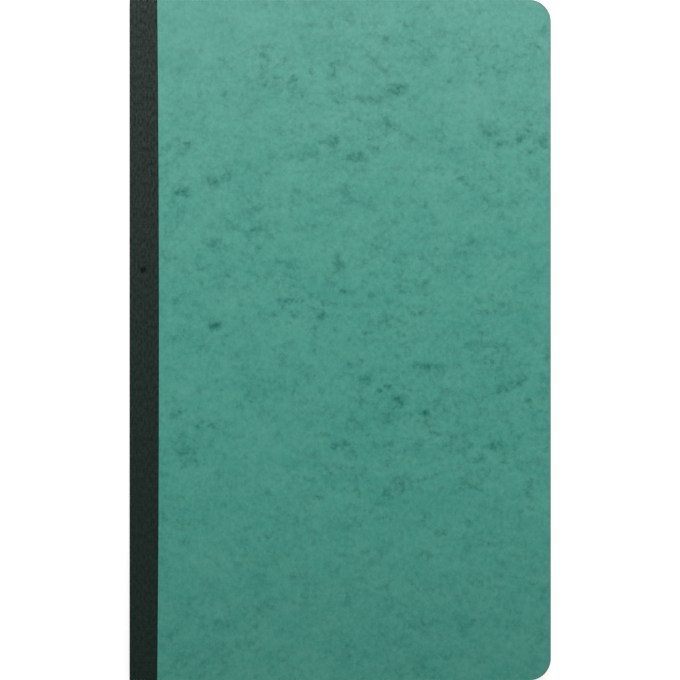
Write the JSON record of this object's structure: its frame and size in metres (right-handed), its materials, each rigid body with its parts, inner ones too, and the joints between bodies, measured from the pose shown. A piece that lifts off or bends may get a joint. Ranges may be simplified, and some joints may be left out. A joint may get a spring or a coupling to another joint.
{
  "type": "due date register",
  "caption": "Thin clothbound register with green pressboard covers, round fore-edge corners, a black cloth spine and sewn sections of ruled pages that turn on the spine.",
  "frame": {"origin": "middle of the closed book's back cover, on its outer face, which rests on the table", "axes": "+X from the spine to the fore edge, +Y from tail to head, +Z from the back cover to the front cover"},
  "size_m": [0.13, 0.21, 0.0074],
  "materials": {
    "pressboard": "satin",
    "endpaper": "matte",
    "page_paper": "matte",
    "book_cloth": "matte",
    "lining_paper": "matte",
    "thread": "matte"
  },
  "bodies": {
    "section_5": {"section_5_sheet_1": "page_paper", "section_5_sheet_2": "page_paper", "section_5_sheet_3": "page_paper", "section_5_sheet_4": "page_paper", "sewing_thread_5": "thread", "back_flyleaf": "endpaper", "spine_lining_lower": "lining_paper", "cloth_spine_lower": "book_cloth"},
    "section_4": {"section_4_sheet_1": "page_paper", "section_4_sheet_2": "page_paper", "section_4_sheet_3": "page_paper", "section_4_sheet_4": "page_paper", "sewing_thread_4": "thread"},
    "section_3": {"section_3_sheet_1": "page_paper", "section_3_sheet_2": "page_paper", "section_3_sheet_3": "page_paper", "section_3_sheet_4": "page_paper", "sewing_thread_3": "thread"},
    "section_2": {"section_2_sheet_1": "page_paper", "section_2_sheet_2": "page_paper", "section_2_sheet_3": "page_paper", "section_2_sheet_4": "page_paper", "sewing_thread_2": "thread"},
    "section_1": {"section_1_sheet_1": "page_paper", "section_1_sheet_2": "page_paper", "section_1_sheet_3": "page_paper", "section_1_sheet_4": "page_paper", "sewing_thread_1": "thread", "front_flyleaf": "endpaper", "spine_lining_upper": "lining_paper", "cloth_spine_upper": "book_cloth"},
    "front_cover": {"front_cover": "pressboard", "front_pastedown": "endpaper", "cloth_front_lap": "book_cloth"},
    "back_cover": {"back_cover": "pressboard", "back_pastedown": "endpaper", "cloth_back_lap": "book_cloth"}
  },
  "joints": [
    {"name": "section_4_turn", "type": "hinge", "parent": "section_5", "child": "section_4", "pos_m": [-0.06505, 0, 0.00371], "axis": [0, -1, 0], "range_deg": [0, 180]},
    {"name": "section_3_turn", "type": "hinge", "parent": "section_4", "child": "section_3", "pos_m": [-0.06505, 0, 0.00371], "axis": [0, -1, 0], "range_deg": [0, 180]},
    {"name": "section_2_turn", "type": "hinge", "parent": "section_3", "child": "section_2", "pos_m": [-0.06505, 0, 0.00371], "axis": [0, -1, 0], "range_deg": [0, 180]},
    {"name": "section_1_turn", "type": "hinge", "parent": "section_2", "child": "section_1", "pos_m": [-0.06505, 0, 0.00371], "axis": [0, -1, 0], "range_deg": [0, 180]},
    {"name": "front_cover_hinge", "type": "hinge", "parent": "section_1", "child": "front_cover", "pos_m": [-0.06505, 0, 0.00747], "axis": [0, -1, 0], "range_deg": [0, 180]},
    {"name": "back_cover_hinge", "type": "hinge", "parent": "section_5", "child": "back_cover", "pos_m": [-0.06505, 0, -0.00005], "axis": [0, 1, 0], "range_deg": [0, 180]}
  ]
}
